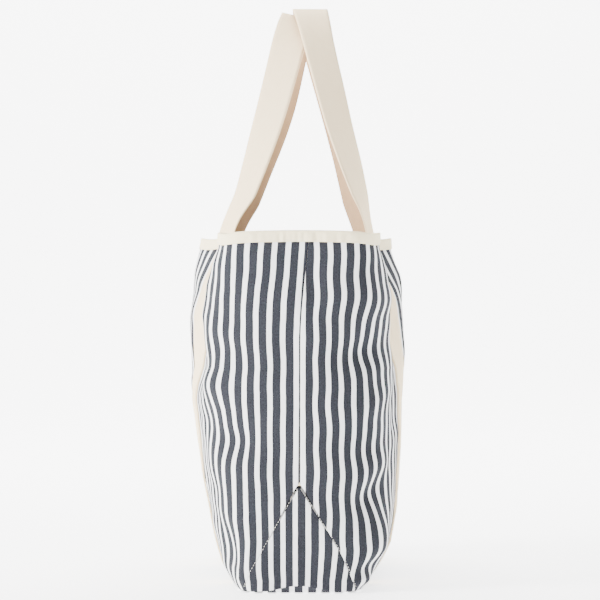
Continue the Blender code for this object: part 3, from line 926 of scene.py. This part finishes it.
# Each lamp's name, which is also its power's, its place, what it points at, its size and its colour
LAMPS = (
    ("key", (1.5, -3.1, 1.4), (0, 0, 0.25), 1.4, (1.0, 0.99, 0.97)),
    ("fill", (2.4, 2.4, 1.2), (0, 0, 0.25), 1.8, (0.97, 0.98, 1.0)),
    ("top", (0.3, 0.0, 2.6), (0, 0, 0.3), 2.2, (1.0, 1.0, 1.0)),
    ("wall", (-1.6, 0.0, 3.6), (-4.5, 0, 1.0), 3.0, (1.0, 1.0, 1.0)),
)


def add_light(name, at, aim, size, power, colour):
    """A soft square lamp, turned to a point."""
    lamp = bpy.data.lights.new(name, "AREA")
    lamp.shape = "SQUARE"
    lamp.size = size
    lamp.energy = power
    lamp.color = colour
    obj = bpy.data.objects.new(name, lamp)
    obj.location = at
    obj.rotation_euler = (Vector(aim) - Vector(at)).to_track_quat("-Z", "Y").to_euler()
    bpy.context.scene.collection.objects.link(obj)
    return obj


def make_sweep():
    """The studio's floor, which curves up into a wall behind the bag."""
    turn = np.linspace(0, math.pi / 2, 25)
    x = np.concatenate([[14.0, 6.0, 0.0], -3.0 - 1.5 * np.sin(turn)])
    z = np.concatenate([[0.0, 0.0, 0.0], 1.5 - 1.5 * np.cos(turn)])
    x, z = np.append(x, x[-1]), np.append(z, 7.0)
    y = np.array([-10.0, 10.0])
    points = np.stack([np.broadcast_to(x[:, None], (len(x), 2)), np.broadcast_to(y, (len(x), 2)),
                       np.broadcast_to(z[:, None], (len(x), 2))], -1)
    return grid_object("studio_sweep", points[:, ::-1], material_named("studio_floor", floor_material))


# --- Add-on -----------------------------------------------------------------------------------

def length_setting(name, description, default):
    """A length setting, in metres."""
    return FloatProperty(name=name, description=description, default=default, unit="LENGTH")


def colour_setting(name, description, default):
    """A colour setting."""
    return FloatVectorProperty(name=name, description=description, default=default, subtype="COLOR")


def power_setting(name, description, default):
    """A lamp's power, in watts."""
    return FloatProperty(name=name, description=description, default=default, unit="POWER")


class ToteCloth(bpy.types.PropertyGroup):
    """The striped canvas."""

    stripe_pitch: length_setting("Stripe pitch", "From one dark stripe to the next", 0.0137)
    band_width: length_setting("Dark stripe", "Width of a dark stripe", 0.0084)
    thickness: length_setting("Thickness", "Thickness of the canvas", 0.0008)
    phase_front: length_setting("Front shift", "Where the front's stripes start at the seam", -0.0039)
    phase_back: length_setting("Back shift", "Where the back's stripes start at the seam", -0.0039)
    phase_gusset: length_setting("Gusset shift", "Where the gussets' stripes start", 0.0044)
    phase_base: length_setting("Base shift", "Where the base's stripes start", 0.0074)
    band_dark: colour_setting("Dark yarn", "Darkest of the stripe's yarns", (0.004, 0.0043, 0.007))
    band_light: colour_setting("Light yarn", "Lightest of the stripe's yarns", (0.036, 0.038, 0.049))
    ground_light: colour_setting("Ground", "White yarn", (0.94, 0.94, 0.95))
    ground_shade: colour_setting("Ground shade", "White yarn in the hollows", (0.74, 0.74, 0.76))


class ToteWebbing(bpy.types.PropertyGroup):
    """The webbing of the handles and the tape of the rim."""

    width: length_setting("Width", "Width of the webbing", 0.038)
    thickness: length_setting("Thickness", "Thickness of the webbing", 0.0018)
    colour: colour_setting("Webbing", "Cotton yarn of the webbing", (0.98, 0.80, 0.53))
    # Painted shade in the webbing's rib hollows, mixed with random mottle
    mottle_and_painted_shade: colour_setting("Webbing shade", "Webbing in its hollows", (0.86, 0.66, 0.39))
    # Painted shade: the inner face's colours are a darker, warmer copy of the webbing, standing in for its
    # shade and warm bounce; the second is darker still in the rib hollows
    inside: colour_setting("Inside", "Yarn on the webbing's inner face", (0.58, 0.37, 0.21))
    inside_mottle_and_painted_shade: colour_setting("Inside shade", "Its hollows", (0.42, 0.25, 0.13))
    tape_colour: colour_setting("Tape", "Cotton yarn of the tape", (0.99, 0.88, 0.60))
    # Painted shade in the tape's rib hollows, mixed with random mottle
    tape_mottle_and_painted_shade: colour_setting("Tape shade", "Tape in its hollows", (0.91, 0.76, 0.48))


class ToteStitch(bpy.types.PropertyGroup):
    """The sewing thread."""

    length: length_setting("Stitch", "Length of a stitch", 0.0021)
    pitch: length_setting("Pitch", "From one stitch to the next", 0.0032)
    radius: length_setting("Thread", "Half the thread's thickness", 0.00022)
    inset: length_setting("Inset", "From a strap's edge to its stitches", 0.003)
    colour: colour_setting("Thread colour", "Colour of the thread", (0.86, 0.84, 0.78))


class ToteStage(bpy.types.PropertyGroup):
    """The studio."""

    camera_at: FloatVectorProperty(name="Camera", description="Where the camera stands",
                                   subtype="TRANSLATION", default=(3.0, 0.0008, 0.300))
    lens: FloatProperty(name="Lens", description="Focal length in millimetres", default=163.0)
    key: power_setting("Key", "Power of the lamp on the left", 350.0)
    fill: power_setting("Fill", "Power of the lamp on the right", 2.0)
    top: power_setting("Top", "Power of the lamp overhead", 70.0)
    wall: power_setting("Wall", "Power of the lamp on the wall", 600.0)
    sky: FloatProperty(name="Sky", description="Strength of the light from all round", default=0.52)


class TotePiece:
    """What the operators share: each one undoes in one step, and an error in it is raised."""

    bl_options = {"REGISTER", "UNDO"}


class TOTE_OT_body(TotePiece, bpy.types.Operator):
    """Make the canvas: two panels, two end gussets and the base"""

    bl_idname = "tote.body"
    bl_label = "Canvas body"

    def execute(self, context):
        for side in (-1, 1):
            make_panel(side)
            make_gusset(side)
        make_base()
        return {"FINISHED"}


class TOTE_OT_rim(TotePiece, bpy.types.Operator):
    """Make the tape round the rim and over the seams inside"""

    bl_idname = "tote.rim"
    bl_label = "Rim and seam tape"

    def execute(self, context):
        make_binding()
        for end in (-1, 1):
            make_seam_tape(end)
        return {"FINISHED"}


class TOTE_OT_webbing(TotePiece, bpy.types.Operator):
    """Make the two lengths of webbing, each a handle and its two straps"""

    bl_idname = "tote.webbing"
    bl_label = "Handles"

    def execute(self, context):
        for side in (-1, 1):
            make_webbing(side)
        return {"FINISHED"}


class TOTE_OT_stitching(TotePiece, bpy.types.Operator):
    """Sew the rows of stitches"""

    bl_idname = "tote.stitching"
    bl_label = "Stitching"

    def execute(self, context):
        make_stitching()
        return {"FINISHED"}


class TOTE_OT_stage(TotePiece, bpy.types.Operator):
    """Set up the floor, lamps and camera"""

    bl_idname = "tote.stage"
    bl_label = "Studio"

    def execute(self, context):
        look = context.scene.tote_stage
        world = bpy.data.worlds.new("studio_light")
        context.scene.world = world
        world.use_nodes = True
        sky = world.node_tree.nodes["Background"]
        sky.inputs["Color"].default_value = (1.0, 1.0, 1.0, 1)
        sky.inputs["Strength"].default_value = look.sky
        made = [make_sweep()]
        made += [add_light(name + "_lamp", at, aim, size, getattr(look, name), colour)
                 for name, at, aim, size, colour in LAMPS]
        lens = bpy.data.cameras.new("studio_camera")
        lens.sensor_width = 36.0
        lens.lens = look.lens
        camera = bpy.data.objects.new("studio_camera", lens)
        camera.location = look.camera_at
        camera.rotation_euler = Vector((-1, 0, 0)).to_track_quat("-Z", "Y").to_euler()
        context.scene.collection.objects.link(camera)
        context.scene.camera = camera
        return {"FINISHED"}


class TOTE_PT_panel(bpy.types.Panel):
    """The sidebar's sizes, colours and buttons"""

    bl_label = "Tote bag"
    bl_idname = "TOTE_PT_panel"
    bl_space_type = "VIEW_3D"
    bl_region_type = "UI"
    bl_category = "Tote Bag"

    def draw(self, context):
        for name in SETTINGS:
            box = self.layout.box()
            for prop in getattr(context.scene, name).bl_rna.properties:
                if prop.identifier not in ("rna_type", "name"):
                    box.prop(getattr(context.scene, name), prop.identifier)
        for operator in OPERATORS:
            self.layout.operator(operator.bl_idname)


SETTINGS = {"tote_cloth": ToteCloth, "tote_webbing": ToteWebbing, "tote_stitch": ToteStitch,
            "tote_stage": ToteStage}
OPERATORS = (TOTE_OT_body, TOTE_OT_rim, TOTE_OT_webbing, TOTE_OT_stitching, TOTE_OT_stage)


def register():
    """Add the settings, the operators and the panel to Blender."""
    for made in (*SETTINGS.values(), *OPERATORS, TOTE_PT_panel):
        bpy.utils.register_class(made)
    for name, group in SETTINGS.items():
        setattr(bpy.types.Scene, name, PointerProperty(type=group))


def unregister():
    """Take them out again."""
    for name in SETTINGS:
        delattr(bpy.types.Scene, name)
    for made in (TOTE_PT_panel, *reversed(OPERATORS), *reversed(tuple(SETTINGS.values()))):
        bpy.utils.unregister_class(made)


def main():
    register()
    bpy.ops.tote.body()
    bpy.ops.tote.rim()
    bpy.ops.tote.webbing()
    bpy.ops.tote.stitching()
    bpy.ops.tote.stage()


if __name__ == "__main__":
    main()
